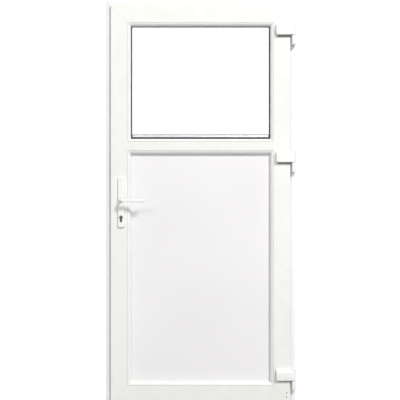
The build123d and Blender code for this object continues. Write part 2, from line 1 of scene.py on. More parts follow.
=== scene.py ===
# A white door set: a frame with a low threshold, and a leaf with a glass pane over a flat panel.
# Metres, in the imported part's frame: X runs to the hinge side, Y from the room to the outside, Z up.
import math
import random
import bmesh
import bpy
from mathutils import Matrix, Vector


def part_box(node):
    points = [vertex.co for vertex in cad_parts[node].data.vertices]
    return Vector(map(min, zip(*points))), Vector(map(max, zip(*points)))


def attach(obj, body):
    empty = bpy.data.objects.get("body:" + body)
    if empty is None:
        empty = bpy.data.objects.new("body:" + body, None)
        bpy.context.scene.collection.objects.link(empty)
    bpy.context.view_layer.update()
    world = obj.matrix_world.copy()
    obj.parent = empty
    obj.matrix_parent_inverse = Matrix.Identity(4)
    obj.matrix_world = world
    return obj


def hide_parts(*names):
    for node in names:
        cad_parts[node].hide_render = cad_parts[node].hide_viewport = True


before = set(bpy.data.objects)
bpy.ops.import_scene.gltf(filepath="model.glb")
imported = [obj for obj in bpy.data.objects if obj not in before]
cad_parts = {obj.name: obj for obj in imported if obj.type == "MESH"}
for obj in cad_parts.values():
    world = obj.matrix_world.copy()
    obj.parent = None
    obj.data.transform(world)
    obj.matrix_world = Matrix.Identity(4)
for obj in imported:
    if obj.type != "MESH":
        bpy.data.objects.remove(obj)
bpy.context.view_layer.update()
MM = 0.001


# Materials

def linear(colour):
    """The linear colour of an sRGB hex value."""
    channels = []
    for start in (0, 2, 4):
        value = int(colour[start:start + 2], 16) / 255
        channels.append(value / 12.92 if value <= 0.04045 else ((value + 0.055) / 1.055) ** 2.4)
    return (*channels, 1.0)


def add(tree, kind, inputs=None, **settings):
    """A node with its settings, and its inputs filled in or linked."""
    made = tree.nodes.new(kind)
    for key, value in settings.items():
        setattr(made, key, value)
    for key, value in (inputs or {}).items():
        if isinstance(value, bpy.types.NodeSocket):
            tree.links.new(value, made.inputs[key])
        else:
            made.inputs[key].default_value = value
    return made


def new_material(name, roughness, **constants):
    """A material with its shader, and object coordinates in metres."""
    material = bpy.data.materials.new(name)
    material.use_nodes = True
    tree = material.node_tree
    shader = tree.nodes["Principled BSDF"]
    shader.inputs["Roughness"].default_value = roughness
    for key, value in constants.items():
        shader.inputs[key.replace("_", " ")].default_value = value
    place = add(tree, "ShaderNodeTexCoord").outputs["Object"]
    return material, tree, shader, place


def stretched_noise(tree, place, sizes, detail=2.0):
    """Noise whose grain has this size in millimetres along X, Y and Z."""
    scales = tuple(1 / (size * MM) for size in sizes)
    grain = add(tree, "ShaderNodeMapping", {"Vector": place, "Scale": scales})
    noise = add(tree, "ShaderNodeTexNoise", {"Vector": grain.outputs[0], "Scale": 1.0, "Detail": detail})
    return noise.outputs["Fac"]


def tint(tree, shader, amount, dark, light, low=0.35, high=0.65):
    """Lets the colour wander between two close tones."""
    wander = add(tree, "ShaderNodeMapRange", {"Value": amount, "From Min": low, "From Max": high})
    tones = {0: wander.outputs[0], 6: linear(dark), 7: linear(light)}
    mix = add(tree, "ShaderNodeMix", tones, data_type="RGBA")
    tree.links.new(mix.outputs[2], shader.inputs["Base Color"])


def vary_roughness(tree, shader, amount, low, high):
    """Lets the gloss wander between two values."""
    inputs = {"Value": amount, "From Min": 0.3, "From Max": 0.7, "To Min": low, "To Max": high}
    spread = add(tree, "ShaderNodeMapRange", inputs)
    tree.links.new(spread.outputs[0], shader.inputs["Roughness"])


def raise_surface(tree, shader, height, depth_mm, strength, under=None):
    """Turns a height field into relief of this depth."""
    inputs = {"Height": height, "Distance": depth_mm * MM, "Strength": strength}
    if under is not None:
        inputs["Normal"] = under
    bump = add(tree, "ShaderNodeBump", inputs)
    tree.links.new(bump.outputs[0], shader.inputs["Normal"])
    return bump.outputs[0]


PVC_IOR = 1.53
DIE_LINE_LENGTH = 900.0


def extruded_pvc(name, along, dark, light, gloss):
    """Rigid PVC from a die: satin, with faint die lines along its length and a slow waviness."""
    material, tree, shader, place = new_material(name, gloss, IOR=PVC_IOR)
    # Die lines are under a millimetre apart in the real skin and are drawn 6 mm apart, to show at all
    line_size = [6.0, 6.0, 6.0]
    line_size[along] = DIE_LINE_LENGTH
    lines = stretched_noise(tree, place, line_size)
    wave = stretched_noise(tree, place, (70.0, 70.0, 70.0), 1.0)
    tint(tree, shader, wave, dark, light)
    vary_roughness(tree, shader, lines, gloss - 0.05, gloss + 0.06)
    under = raise_surface(tree, shader, wave, 0.5, 0.15)
    raise_surface(tree, shader, lines, 0.05, 0.3, under)
    return material


profile_upright = extruded_pvc("rigid_pvc_extruded_upright", 2, "F1F1EC", "F3F3EF", 0.34)
profile_level = extruded_pvc("rigid_pvc_extruded_level", 0, "F1F1EC", "F3F3EF", 0.34)
# The jamb on the hinge side is a little whiter and more neutral than the leaf, its extra whiteness being
# painted light; the one on the lock side is a little greyer, as painted shade from the leaf standing proud
# beside it
profile_frame_tone_and_painted_light = extruded_pvc("rigid_pvc_extruded_frame_upright", 2, "F3F3F1", "F5F5F4", 0.34)
profile_painted_shade = extruded_pvc("rigid_pvc_extruded_weathered", 2, "EAEAE8", "ECECEB", 0.36)
bead_upright = extruded_pvc("rigid_pvc_bead_upright", 2, "F3F3EF", "F5F5F2", 0.3)
bead_level = extruded_pvc("rigid_pvc_bead_level", 0, "F3F3EF", "F5F5F2", 0.3)


def pressed_sheet():
    """Foamed PVC sheet, pressed flat: satin, slightly pink white, with a fine orange peel."""
    material, tree, shader, place = new_material("foamed_pvc_sheet_pressed", 0.4, IOR=PVC_IOR)
    peel = stretched_noise(tree, place, (9.0, 9.0, 9.0))
    bow = stretched_noise(tree, place, (350.0, 350.0, 350.0), 0.0)
    tint(tree, shader, bow, "EFEDEE", "F1EFF0")
    vary_roughness(tree, shader, peel, 0.36, 0.46)
    under = raise_surface(tree, shader, bow, 1.5, 0.1)
    raise_surface(tree, shader, peel, 0.04, 0.3, under)
    return material


def cut_foam():
    """Polystyrene core, wire cut: pale, open cells that show at its edges."""
    material, tree, shader, place = new_material("polystyrene_foam_cut", 0.9, IOR=1.59)
    cells = add(tree, "ShaderNodeTexVoronoi", {"Vector": place, "Scale": 1 / (3.5 * MM)})
    tint(tree, shader, cells.outputs["Distance"], "E9E3D0", "D6CDB4", 0.0, 0.8)
    raise_surface(tree, shader, cells.outputs["Distance"], 0.5, 0.6)
    return material


def soft_rubber(name, dark, light, gloss):
    """Thermoplastic rubber, extruded: matt, with a fine dusty grain."""
    material, tree, shader, place = new_material(name, gloss, IOR=1.5)
    grain = stretched_noise(tree, place, (1.2, 1.2, 1.2))
    patches = stretched_noise(tree, place, (40.0, 40.0, 40.0))
    tint(tree, shader, patches, dark, light)
    vary_roughness(tree, shader, patches, gloss - 0.06, gloss + 0.06)
    raise_surface(tree, shader, grain, 0.08, 0.4)
    return material


def pile_yarn():
    """Polypropylene pile, woven: grey, soft, with upright filaments."""
    material, tree, shader, place = new_material("polypropylene_pile_woven", 0.85, IOR=1.49, Sheen_Weight=0.3)
    # Filaments are a tenth of a millimetre thick and are drawn a millimetre apart
    filaments = stretched_noise(tree, place, (1.0, 1.0, 30.0))
    tint(tree, shader, filaments, "3B3C3E", "77787A")
    raise_surface(tree, shader, filaments, 0.5, 0.8)
    return material


def float_glass():
    """Float glass: clear and smooth, hardly green, with the faintest draw lines."""
    material, tree, shader, place = new_material("float_glass_clear", 0.0, IOR=1.52, Transmission_Weight=1.0)
    draw = stretched_noise(tree, place, (60.0, 60.0, 900.0), 0.0)
    tint(tree, shader, draw, "FCFEFE", "FEFFFF")
    raise_surface(tree, shader, draw, 0.01, 0.02)
    return material


def rolled_spacer():
    """Aluminium spacer, roll formed: a bright satin bar with fine lines along it."""
    material, tree, shader, place = new_material("aluminium_spacer_rolled", 0.35, Metallic=1.0)
    lines = stretched_noise(tree, place, (400.0, 1.0, 1.0))
    tint(tree, shader, lines, "E2E4E5", "F0F1F1")
    vary_roughness(tree, shader, lines, 0.42, 0.55)
    raise_surface(tree, shader, lines, 0.03, 0.3)
    return material


def moulded_plastic(name, dark, light, gloss):
    """Moulded polypropylene: matt, with a spark eroded grain."""
    material, tree, shader, place = new_material(name, gloss, IOR=1.49)
    grain = stretched_noise(tree, place, (0.8, 0.8, 0.8))
    patches = stretched_noise(tree, place, (30.0, 30.0, 30.0))
    tint(tree, shader, patches, dark, light)
    vary_roughness(tree, shader, patches, gloss - 0.05, gloss + 0.08)
    raise_surface(tree, shader, grain, 0.06, 0.5)
    return material


def anodised_sill():
    """Aluminium, extruded and anodised: silver satin with fine lines along the doorway."""
    material, tree, shader, place = new_material("aluminium_anodised_satin", 0.38, Metallic=1.0)
    # The real lines are a tenth of a millimetre apart and are drawn at 1.5 mm
    lines = stretched_noise(tree, place, (500.0, 1.5, 1.5))
    scuffs = stretched_noise(tree, place, (80.0, 30.0, 30.0))
    tint(tree, shader, lines, "B4B6B7", "CFD0D1")
    vary_roughness(tree, shader, scuffs, 0.3, 0.5)
    raise_surface(tree, shader, lines, 0.04, 0.4)
    return material


def zinc_plate():
    """Steel, zinc plated: cool bright grey with a faint blue cast and soft clouding."""
    material, tree, shader, place = new_material("steel_zinc_plated", 0.34, Metallic=1.0)
    clouds = stretched_noise(tree, place, (14.0, 14.0, 14.0), 4.0)
    brushed = stretched_noise(tree, place, (1.0, 1.0, 120.0))
    tint(tree, shader, clouds, "A9ADB2", "C6C9CC")
    vary_roughness(tree, shader, clouds, 0.26, 0.46)
    raise_surface(tree, shader, brushed, 0.03, 0.3)
    return material


def satin_nickel():
    """Brass, nickel plated and brushed: warm grey with short lines from turning."""
    material, tree, shader, place = new_material("brass_nickel_satin", 0.34, Metallic=1.0)
    turned = stretched_noise(tree, place, (0.7, 20.0, 0.7))
    clouds = stretched_noise(tree, place, (8.0, 8.0, 8.0))
    tint(tree, shader, clouds, "8E8B86", "A6A39D")
    vary_roughness(tree, shader, turned, 0.26, 0.44)
    raise_surface(tree, shader, turned, 0.02, 0.4)
    return material


def powder_coat():
    """Zinc die casting, powder coated white: glossier than the profile, with a fine orange peel."""
    material, tree, shader, place = new_material("zinc_casting_powder_coated", 0.26, IOR=1.5)
    peel = stretched_noise(tree, place, (2.6, 2.6, 2.6), 1.0)
    cast = stretched_noise(tree, place, (25.0, 25.0, 25.0), 1.0)
    tint(tree, shader, cast, "F5F5F3", "F6F6F4")
    vary_roughness(tree, shader, cast, 0.26, 0.3)
    raise_surface(tree, shader, peel, 0.02, 0.25)
    return material


def trimmed_weld():
    """PVC weld, trimmed flush: a matt line a little greyer than the skin beside it."""
    material, tree, shader, place = new_material("rigid_pvc_weld_trimmed", 0.6, IOR=PVC_IOR)
    cut = stretched_noise(tree, place, (2.0, 2.0, 2.0))
    tint(tree, shader, cut, "DEDED9", "E6E6E1")
    raise_surface(tree, shader, cut, 0.1, 0.4)
    return material


sheet_skin = pressed_sheet()
core_foam = cut_foam()
rubber_dark = soft_rubber("rubber_gasket_graphite", "1B1D20", "2A2C30", 0.62)
rubber_pale = soft_rubber("rubber_gasket_pale_grey", "E8E8E6", "EEEEEC", 0.55)
pile = pile_yarn()
glass = float_glass()
spacer = rolled_spacer()
black_plastic = moulded_plastic("polypropylene_black_moulded", "17181A", "26272A", 0.55)
# This grey is painted shade, for the plates that deepen the shadow under the hinge wings
packer_grey_painted_shade = moulded_plastic("polypropylene_grey_moulded", "7E7E7B", "8B8B88", 0.5)
sill = anodised_sill()
zinc = zinc_plate()
nickel = satin_nickel()
coated = powder_coat()
weld_seam = trimmed_weld()
# A grey strip in each bead joint is painted shade for the fine gap's shadow, matt and grainy too
joint_painted_shade = soft_rubber("joint_filled_with_dust", "8C8C88", "A8A8A3", 0.8)
cap_plastic = moulded_plastic("polypropylene_white_moulded", "EEEEEA", "F1F1ED", 0.45)

FINISHES = {
    "frame_jamb_lock_side": profile_painted_shade, "frame_jamb_hinge_side": profile_frame_tone_and_painted_light,
    "frame_head": profile_level, "leaf_stile_lock_side": profile_upright,
    "leaf_stile_hinge_side": profile_upright, "leaf_rail_top": profile_level,
    "leaf_rail_bottom": profile_level, "leaf_transom": profile_level,
    "weather_bar": profile_level,
    "beads_upper_sides": bead_upright, "beads_lower_sides": bead_upright,
    "beads_upper_ends": bead_level, "beads_lower_ends": bead_level,
    "panel_skins": sheet_skin, "panel_core": core_foam,
    "frame_stop_seal": rubber_dark, "leaf_lip_seal": rubber_dark,
    "gasket_inside_upper": rubber_dark, "gasket_outside_upper": rubber_dark,
    "gasket_inside_lower": rubber_pale, "gasket_outside_lower": rubber_pale,
    "bottom_brushes": pile, "bottom_seal_carrier": sill,
    "glass_pane_inside": glass, "glass_pane_outside": glass, "glass_spacer": spacer,
    "setting_blocks": black_plastic, "threshold_base": black_plastic, "threshold_rail": sill,
    "keep_plates": zinc, "lock_faceplate": zinc, "lock_bolts": zinc, "hinge_pins": zinc,
    "handle_spindle": zinc, "lock_cylinder": nickel,
    "handle_plate_inside": coated, "handle_plate_outside": coated,
    "lever_inside": coated, "lever_outside": coated,
    "hinge_frame_parts": coated, "hinge_leaf_parts": coated,
}
for name, cad_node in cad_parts.items():
    cad_node.data.materials.clear()
    cad_node.data.materials.append(FINISHES[name])


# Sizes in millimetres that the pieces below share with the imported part

LEAF_IN = -53.0
LEAF_OUT = 17.0
FRAME_IN = -35.0
FRAME_OUT = 35.0
FRAME_EDGE = 490.0
FRAME_TOP = 2090.0
FRAME_FACE = 36.0
LEAF_EDGE = 462.0
LEAF_BOTTOM = 22.0
LEAF_TOP = 2062.0
LEAF_FACE = 88.0
LEAF_LIP = 20.0
SPINDLE_X = -407.0
SPINDLE_Z = 1059.0
CYLINDER_Z = 974.0
PLATE_LOW = 922.0
PLATE_HIGH = 1181.0
PLATE_WIDTH = 34.0
PLATE_HEIGHT = 11.0
HINGE_X = 478.0
HINGE_Y = -60.0
HINGE_RADIUS = 11.0
HINGE_SPLITS = (138.0, 1255.0, 1908.0)
WING_LENGTH = 91.0
WING_THICKNESS = 20.0
WING_LOW = 1.0
WING_HIGH = 61.0
WING_ROOF_DROP = 16.0
WING_ROOF_DEPTH = 12.0
FOOT_LOW = -50.0
FOOT_HIGH = -1.0
FACEPLATE_X = -442.0
KEEP_X = -452.0
BOLT_HEIGHTS = (439.0, 1059.0, 1679.0)
GROOVE_Y = -18.0
GASKET_COVER = 5.0
UPRIGHT = Matrix.Rotation(math.radians(90), 3, "X")


# Modelling, all in millimetres until a piece is finished

def made_verts(result):
    """The vertices that an operator made."""
    return [part for part in result["geom"] if isinstance(part, bmesh.types.BMVert)]


def box(work, low, high):
    """A block between two corners."""
    made = bmesh.ops.create_cube(work, size=1.0)["verts"]
    bmesh.ops.scale(work, vec=Vector(high) - Vector(low), verts=made)
    bmesh.ops.translate(work, vec=(Vector(low) + Vector(high)) / 2, verts=made)


def edges_where(work, test):
    """The edges whose two ends both pass a test."""
    return [edge for edge in work.edges if test(edge.verts[0].co) and test(edge.verts[1].co)]


def sharp_edges(work):
    """The edges between faces that meet at more than 25 degrees."""
    limit = math.radians(25)
    return [edge for edge in work.edges if len(edge.link_faces) == 2 and edge.calc_face_angle(0) > limit]


def edges_before(edges, y):
    """Those of the edges with an end nearer to the room than this depth."""
    return [edge for edge in edges if min(end.co.y for end in edge.verts) < y]


def soften(work, parts, radius, steps, affect="EDGES"):
    """Rounds edges, or the corners of a flat face."""
    bmesh.ops.bevel(
        work, geom=parts, offset=radius, offset_type="OFFSET", affect=affect, segments=steps, profile=0.5,
        material=-1, clamp_overlap=True)


def upright_sheet(work, low, high, y):
    """One flat face in the door's plane, from its lowest to its highest corner."""
    made = bmesh.ops.create_grid(work, x_segments=1, y_segments=1, size=0.5)["verts"]
    bmesh.ops.scale(work, vec=(high[0] - low[0], high[1] - low[1], 1.0), verts=made)
    bmesh.ops.rotate(work, cent=(0, 0, 0), matrix=UPRIGHT, verts=made)
    bmesh.ops.translate(work, vec=((low[0] + high[0]) / 2, y, (low[1] + high[1]) / 2), verts=made)
    return made[0].link_faces[0]


def push(work, face, shift, shrink=1.0):
    """Extrudes a face, may shrink its far end, and gives that end back."""
    on_solid = all(len(edge.link_faces) > 1 for edge in face.edges)
    made = bmesh.ops.extrude_face_region(work, geom=[face])
    far = [part for part in made["geom"] if isinstance(part, bmesh.types.BMFace)][0]
    if on_solid:
        # The old face would stay behind as a wall inside the solid
        bmesh.ops.delete(work, geom=[face], context="FACES_ONLY")
    bmesh.ops.translate(work, vec=shift, verts=far.verts[:])
    if shrink != 1.0:
        about = Matrix.Translation(-far.calc_center_median())
        bmesh.ops.scale(work, vec=(shrink, shrink, shrink), space=about, verts=far.verts[:])
    return far


def turned(work, profile, centre, axis, sides):
    """Adds a shape turned about an axis from pairs of radius and height."""
    part = bmesh.new()
    points = [part.verts.new((radius, 0, height)) for radius, height in profile]
    lines = [part.edges.new(pair) for pair in zip(points, points[1:])]
    bmesh.ops.spin(
        part, geom=points + lines, cent=(0, 0, 0), axis=(0, 0, 1), angle=2 * math.pi, steps=sides,
        use_merge=True)
    bmesh.ops.remove_doubles(part, verts=part.verts, dist=0.001)
    turn = Vector((0, 0, 1)).rotation_difference(Vector(axis)).to_matrix()
    bmesh.ops.rotate(part, cent=(0, 0, 0), matrix=turn, verts=part.verts)
    bmesh.ops.translate(part, vec=centre, verts=part.verts)
    join(work, part)


def join(work, part):
    """Puts a part that was modelled by itself with the rest."""
    mesh = bpy.data.meshes.new("part")
    part.to_mesh(mesh)
    part.free()
    work.from_mesh(mesh)
    bpy.data.meshes.remove(mesh)


def repeat(work, shifts):
    """Sets the whole shape out at each of these places."""
    first = work.verts[:] + work.edges[:] + work.faces[:]
    own = work.verts[:]
    for shift in shifts[1:]:
        bmesh.ops.translate(work, vec=shift, verts=made_verts(bmesh.ops.duplicate(work, geom=first)))
    bmesh.ops.translate(work, vec=shifts[0], verts=own)


def finish_piece(name, work, finish, body, nodes=(), smooth=32):
    """Turns modelled work into a piece that rides on a body, and stands for the nodes named."""
    bmesh.ops.scale(work, vec=(MM, MM, MM), verts=work.verts)
    bmesh.ops.recalc_face_normals(work, faces=work.faces)
    mesh = bpy.data.meshes.new(name)
    work.to_mesh(mesh)
    work.free()
    mesh.shade_smooth()
    mesh.set_sharp_from_angle(angle=math.radians(smooth))
    mesh.materials.append(finish)
    piece = bpy.data.objects.new(name, mesh)
    bpy.context.scene.collection.objects.link(piece)
    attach(piece, body)
    if nodes:
        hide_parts(*nodes)


# Hinges: a cover with a sloping top and a capped barrel on the leaf, over a barrel on the frame

def hinge_cover():
    """The leaf's half of one hinge, above a split at height zero."""
    corner = 10.0
    rounding = 2.2
    short_of_axis = 2.0
    front = LEAF_IN - WING_THICKNESS
    cover = bmesh.new()
    box(cover, (HINGE_X - WING_LENGTH, front, WING_LOW), (HINGE_X - short_of_axis, LEAF_IN, WING_HIGH))
    for end in (WING_LOW, WING_HIGH):
        free_end = edges_where(cover, lambda at: at.x < HINGE_X - 50 and abs(at.z - end) < 1)
        soften(cover, free_end, corner, 6)
    everything = cover.verts[:] + cover.edges[:] + cover.faces[:]
    eaves = (0, front, WING_HIGH - WING_ROOF_DROP)
    fall = Vector((0, -WING_ROOF_DROP, WING_ROOF_DEPTH)).normalized()
    bmesh.ops.bisect_plane(cover, geom=everything, plane_co=eaves, plane_no=fall, clear_outer=True)
    bmesh.ops.holes_fill(cover, edges=cover.edges[:], sides=0)
    soften(cover, edges_before(sharp_edges(cover), LEAF_IN - 0.1), rounding, 4)
    # From the pin's bore over the barrel and a groove to the cap
    barrel = (
        (0, 36), (4.9, 36), (4.9, WING_LOW), (10.2, WING_LOW), (HINGE_RADIUS, 1.8), (HINGE_RADIUS, 50.4),
        (10.4, 51), (9.7, 51), (9.7, 52), (10.5, 52), (10.9, 52.4), (10.9, 56.5), (10.2, 58.9), (8.4, 60.3),
        (3.2, 60.7), (2.8, 60), (0, 60))
    turned(cover, barrel, (HINGE_X, HINGE_Y, 0), (0, 0, 1), 40)
    return cover


def hinge_foot():
    """The frame's half of one hinge, below a split at height zero."""
    lower_round = 2.4
    upper_round = 0.8
    front = HINGE_Y - HINGE_RADIUS
    foot = bmesh.new()
    box(foot, (HINGE_X - HINGE_RADIUS, front, FOOT_LOW), (HINGE_X + HINGE_RADIUS, FRAME_IN, FOOT_HIGH))
    nose = edges_where(foot, lambda at: at.y < HINGE_Y and at.x < HINGE_X)
    nose += edges_where(foot, lambda at: at.y < HINGE_Y and at.x > HINGE_X)
    soften(foot, nose, HINGE_RADIUS - 0.1, 9)
    lower = edges_where(foot, lambda at: at.z < FOOT_LOW + 1)
    soften(foot, edges_before(lower, FRAME_IN - 0.1), lower_round, 4)
    upper = edges_where(foot, lambda at: at.z > FOOT_HIGH - 1)
    soften(foot, edges_before(upper, FRAME_IN - 0.1), upper_round, 2)
    bmesh.ops.dissolve_degenerate(foot, dist=0.01, edges=foot.edges)
    # The pin's head, which shows under the foot
    pin_end = ((0, -51.6), (6.6, -51.6), (7.6, -50.9), (7.6, -48), (0, -48))
    turned(foot, pin_end, (HINGE_X, HINGE_Y, 0), (0, 0, 1), 24)
    return foot


def hinge_packer():
    """The plastic plate between a hinge's wing and the leaf, which shows below the wing; its grey and its
    drop below the wing are painted shade, which deepens the wing's shadow.
    """
    left = 394.0
    foot = -7.0
    head = 40.0
    thickness = 3.4
    corner = 6.0
    rounding = 0.6
    packer = bmesh.new()
    box(packer, (left, LEAF_IN - thickness, foot), (LEAF_EDGE - 1.0, LEAF_IN, head))
    soften(packer, edges_where(packer, lambda at: at.x < left + 1 and at.z < foot + 1), corner, 5)
    soften(packer, edges_before(sharp_edges(packer), LEAF_IN - 1), rounding, 2)
    return packer


for name, work, finish, body, slot, nodes in (
        ("hinge_covers", hinge_cover(), coated, "leaf", "white_fitting", ["hinge_leaf_parts"]),
        # The packers' grey below each wing is painted shade
        ("hinge_packers_with_painted_shade", hinge_packer(), packer_grey_painted_shade, "leaf", "dark_plastic", []),
        ("hinge_feet", hinge_foot(), coated, "frame", "white_fitting", ["hinge_frame_parts"])):
    repeat(work, [(0, 0, split) for split in HINGE_SPLITS])
    finish_piece(name, work, finish, body, nodes)


# Handle: long plates with a domed rim, and bent levers

def hole_edges(work, centre, radius, leg=0.0):
    """An outline in the door's plane: a circle, or with a leg the key shape of the cylinder."""
    leg_half = 5.8
    made = bmesh.ops.create_circle(work, cap_ends=False, radius=radius, segments=32)["verts"]
    lower = [vert for vert in made if vert.co.y < -1 and abs(vert.co.x) < leg_half]
    bmesh.ops.translate(work, vec=(0, -leg, 0), verts=lower)
    bmesh.ops.rotate(work, cent=(0, 0, 0), matrix=UPRIGHT, verts=made)
    bmesh.ops.translate(work, vec=centre, verts=made)
    # A dictionary names each edge once and keeps their order
    return list({edge: None for vert in made for edge in vert.link_edges})


def handle_plate(face_y, out):
    """A plate on one face of the leaf, with holes for the neck and the cylinder."""
    head_corner = 15.0
    foot_corner = 8.0
    rim = 4.2
    steps = 5
    border = 0.5
    neck_hole = 11.1
    cylinder_hole = 9.1
    cylinder_leg = 15.6
    half = PLATE_WIDTH / 2
    plate = bmesh.new()
    upright_sheet(plate, (SPINDLE_X - half, PLATE_LOW), (SPINDLE_X + half, PLATE_HIGH), face_y)
    soften(plate, [vert for vert in plate.verts if vert.co.z > SPINDLE_Z], head_corner, 9, "VERTICES")
    soften(plate, [vert for vert in plate.verts if vert.co.z < PLATE_LOW + 1], foot_corner, 6, "VERTICES")
    plate.faces.ensure_lookup_table()
    front = push(plate, plate.faces[0], (0, out * (PLATE_HEIGHT - rim), 0))
    bmesh.ops.recalc_face_normals(plate, faces=plate.faces)
    angles = [math.radians(90 * step / steps) for step in range(steps + 1)]
    insets = []
    for before, after in zip(angles, angles[1:]):
        inward = rim * (math.cos(before) - math.cos(after))
        upward = rim * (math.sin(after) - math.sin(before))
        insets.append((inward, upward))
    # The last inset is flat, which keeps the dome's shading off the flat front
    insets.append((border, 0.0))
    for inward, upward in insets:
        bmesh.ops.inset_region(
            plate, faces=[front], thickness=inward, depth=upward, use_boundary=True, use_even_offset=True)
    front_y = face_y + out * PLATE_HEIGHT
    front_edges = list(front.edges)
    back_face = min(plate.faces, key=lambda face: abs(face.calc_center_median().y - face_y))
    back_edges = list(back_face.edges)
    bmesh.ops.delete(plate, geom=[front, back_face], context="FACES_ONLY")
    holes = hole_edges(plate, (SPINDLE_X, front_y, SPINDLE_Z), neck_hole)
    holes += hole_edges(plate, (SPINDLE_X, front_y, CYLINDER_Z), cylinder_hole, cylinder_leg)
    walls = bmesh.ops.extrude_edge_only(plate, edges=holes)["geom"]
    deep = [part for part in walls if isinstance(part, bmesh.types.BMVert)]
    bmesh.ops.translate(plate, vec=(0, -out * PLATE_HEIGHT, 0), verts=deep)
    deep_edges = [part for part in walls if isinstance(part, bmesh.types.BMEdge)]
    bmesh.ops.triangle_fill(plate, use_beauty=True, use_dissolve=False, edges=front_edges + holes)
    bmesh.ops.triangle_fill(plate, use_beauty=True, use_dissolve=False, edges=back_edges + deep_edges)
    return plate


def bent_lever(plate_y, out):
    """A round collar, and a flat grip that bends across the door and ends softly."""
    stand = 46.0
    bend = 15.0
    reach = 127.0
    half_depth = 5.8
    half_height = 7.5
    corner = 5.2
    swell = 40.0
    # How far the grip's end goes on in each step, and how much it shrinks
    tip = ((2.4, 0.95), (1.1, 0.84), (0.5, 0.7))
    in_plate = 6.0
    root = plate_y - out * in_plate
    lever = bmesh.new()
    low = (SPINDLE_X - half_depth, SPINDLE_Z - half_height)
    upright_sheet(lever, low, (SPINDLE_X + half_depth, SPINDLE_Z + half_height), root)
    soften(lever, lever.verts[:], corner, 5, "VERTICES")
    lever.faces.ensure_lookup_table()
    bend_y = plate_y + out * (stand - bend)
    start = push(lever, lever.faces[0], (0, bend_y - root, 0))
    last = bmesh.ops.spin(
        lever, geom=[start], cent=(SPINDLE_X + bend, bend_y, SPINDLE_Z), axis=(0, 0, 1),
        angle=-out * math.radians(90), steps=12, use_merge=False)["geom_last"]
    face = [part for part in last if isinstance(part, bmesh.types.BMFace)][0]
    bmesh.ops.delete(lever, geom=[start], context="FACES_ONLY")
    face = push(lever, face, (swell, 0, 0), 1.03)
    taper = reach - bend - swell - sum(ahead for ahead, shrink in tip)
    face = push(lever, face, (taper, 0, 0), 0.95)
    for ahead, shrink in tip:
        face = push(lever, face, (ahead, 0, 0), shrink)
    collar = ((0, 0), (10.5, 0), (10.5, 11.6), (10.1, 12.6), (9.1, 13.0), (0, 13.0))
    turned(lever, collar, (SPINDLE_X, root, SPINDLE_Z), (0, out, 0), 36)
    return lever


for side, face_y, out in (("inside", LEAF_IN, -1), ("outside", LEAF_OUT, 1)):
    for name, work, body, node in (
            ("long_plate_", handle_plate(face_y, out), "leaf", "handle_plate_"),
            ("bent_lever_", bent_lever(face_y + out * PLATE_HEIGHT, out), "handle", "lever_")):
        finish_piece(name + side, work, coated, body, [node + side])


# Glass edge: spacer bars between the panes, with the dark seal behind and along them

def flat_ring(work, low, high, inner_low, inner_high, y_low, y_high):
    """A rectangular ring between an outer and an inner outline, from one depth to another."""
    part = bmesh.new()
    middle = upright_sheet(part, low, high, y_low)
    bmesh.ops.inset_region(part, faces=[middle], thickness=1.0, use_boundary=True, use_even_offset=True)
    for vert in middle.verts:
        vert.co.x = inner_low[0] if vert.co.x < 0 else inner_high[0]
        vert.co.z = inner_low[1] if vert.co.z < (low[1] + high[1]) / 2 else inner_high[1]
    bmesh.ops.delete(part, geom=[middle], context="FACES_ONLY")
    far = made_verts(bmesh.ops.extrude_face_region(part, geom=part.faces[:]))
    bmesh.ops.translate(part, vec=(0, y_high - y_low, 0), verts=far)
    bmesh.ops.recalc_face_normals(part, faces=part.faces)
    join(work, part)


def corners_of(node):
    """A node's lowest and highest corner in millimetres."""
    return [Vector(corner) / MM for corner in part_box(node)]


def outline_within(low, high, side, foot=None, head=None):
    """The outline that lies this far inside two corners at the sides, the foot and the head."""
    foot = side if foot is None else foot
    head = side if head is None else head
    return (low.x + side, low.z + foot), (high.x - side, high.z - head)


spacer_low, spacer_high = corners_of("glass_spacer")
spacer_outer = outline_within(spacer_low, spacer_high, 0.0)
# The bars' width at the sides, the foot and the head: from the room the gasket hides all but the foot
BAR_WIDTHS = (4.0, 14.5, 4.0)
bars = bmesh.new()
bars_inner = outline_within(spacer_low, spacer_high, *BAR_WIDTHS)
flat_ring(bars, *spacer_outer, *bars_inner, spacer_low.y + 0.5, spacer_high.y - 0.5)
soften(bars, sharp_edges(bars), 1.0, 3)
finish_piece("spacer_bars", bars, spacer, "leaf", ["glass_spacer"])

seal = bmesh.new()
pane_outer = outline_within(*corners_of("glass_pane_inside"), 0.4)
flat_ring(seal, *pane_outer, *spacer_outer, spacer_low.y + 0.1, spacer_high.y - 0.1)
# A line of seal runs along the bars' inner edge on each pane, and on the far one it is thin and set back
SEAL_LINE = 0.4
SEAL_FROM = 3.0
for y, seal_to in ((spacer_low.y + 0.1, 0.0), (spacer_high.y - SEAL_LINE - 0.1, 1.8)):
    line_outer = outline_within(spacer_low, spacer_high, *(width - SEAL_FROM for width in BAR_WIDTHS))
    line_inner = outline_within(spacer_low, spacer_high, *(width - seal_to for width in BAR_WIDTHS))
    flat_ring(seal, *line_outer, *line_inner, y, y + SEAL_LINE)
finish_piece("pane_edge_seal", seal, rubber_dark, "leaf")


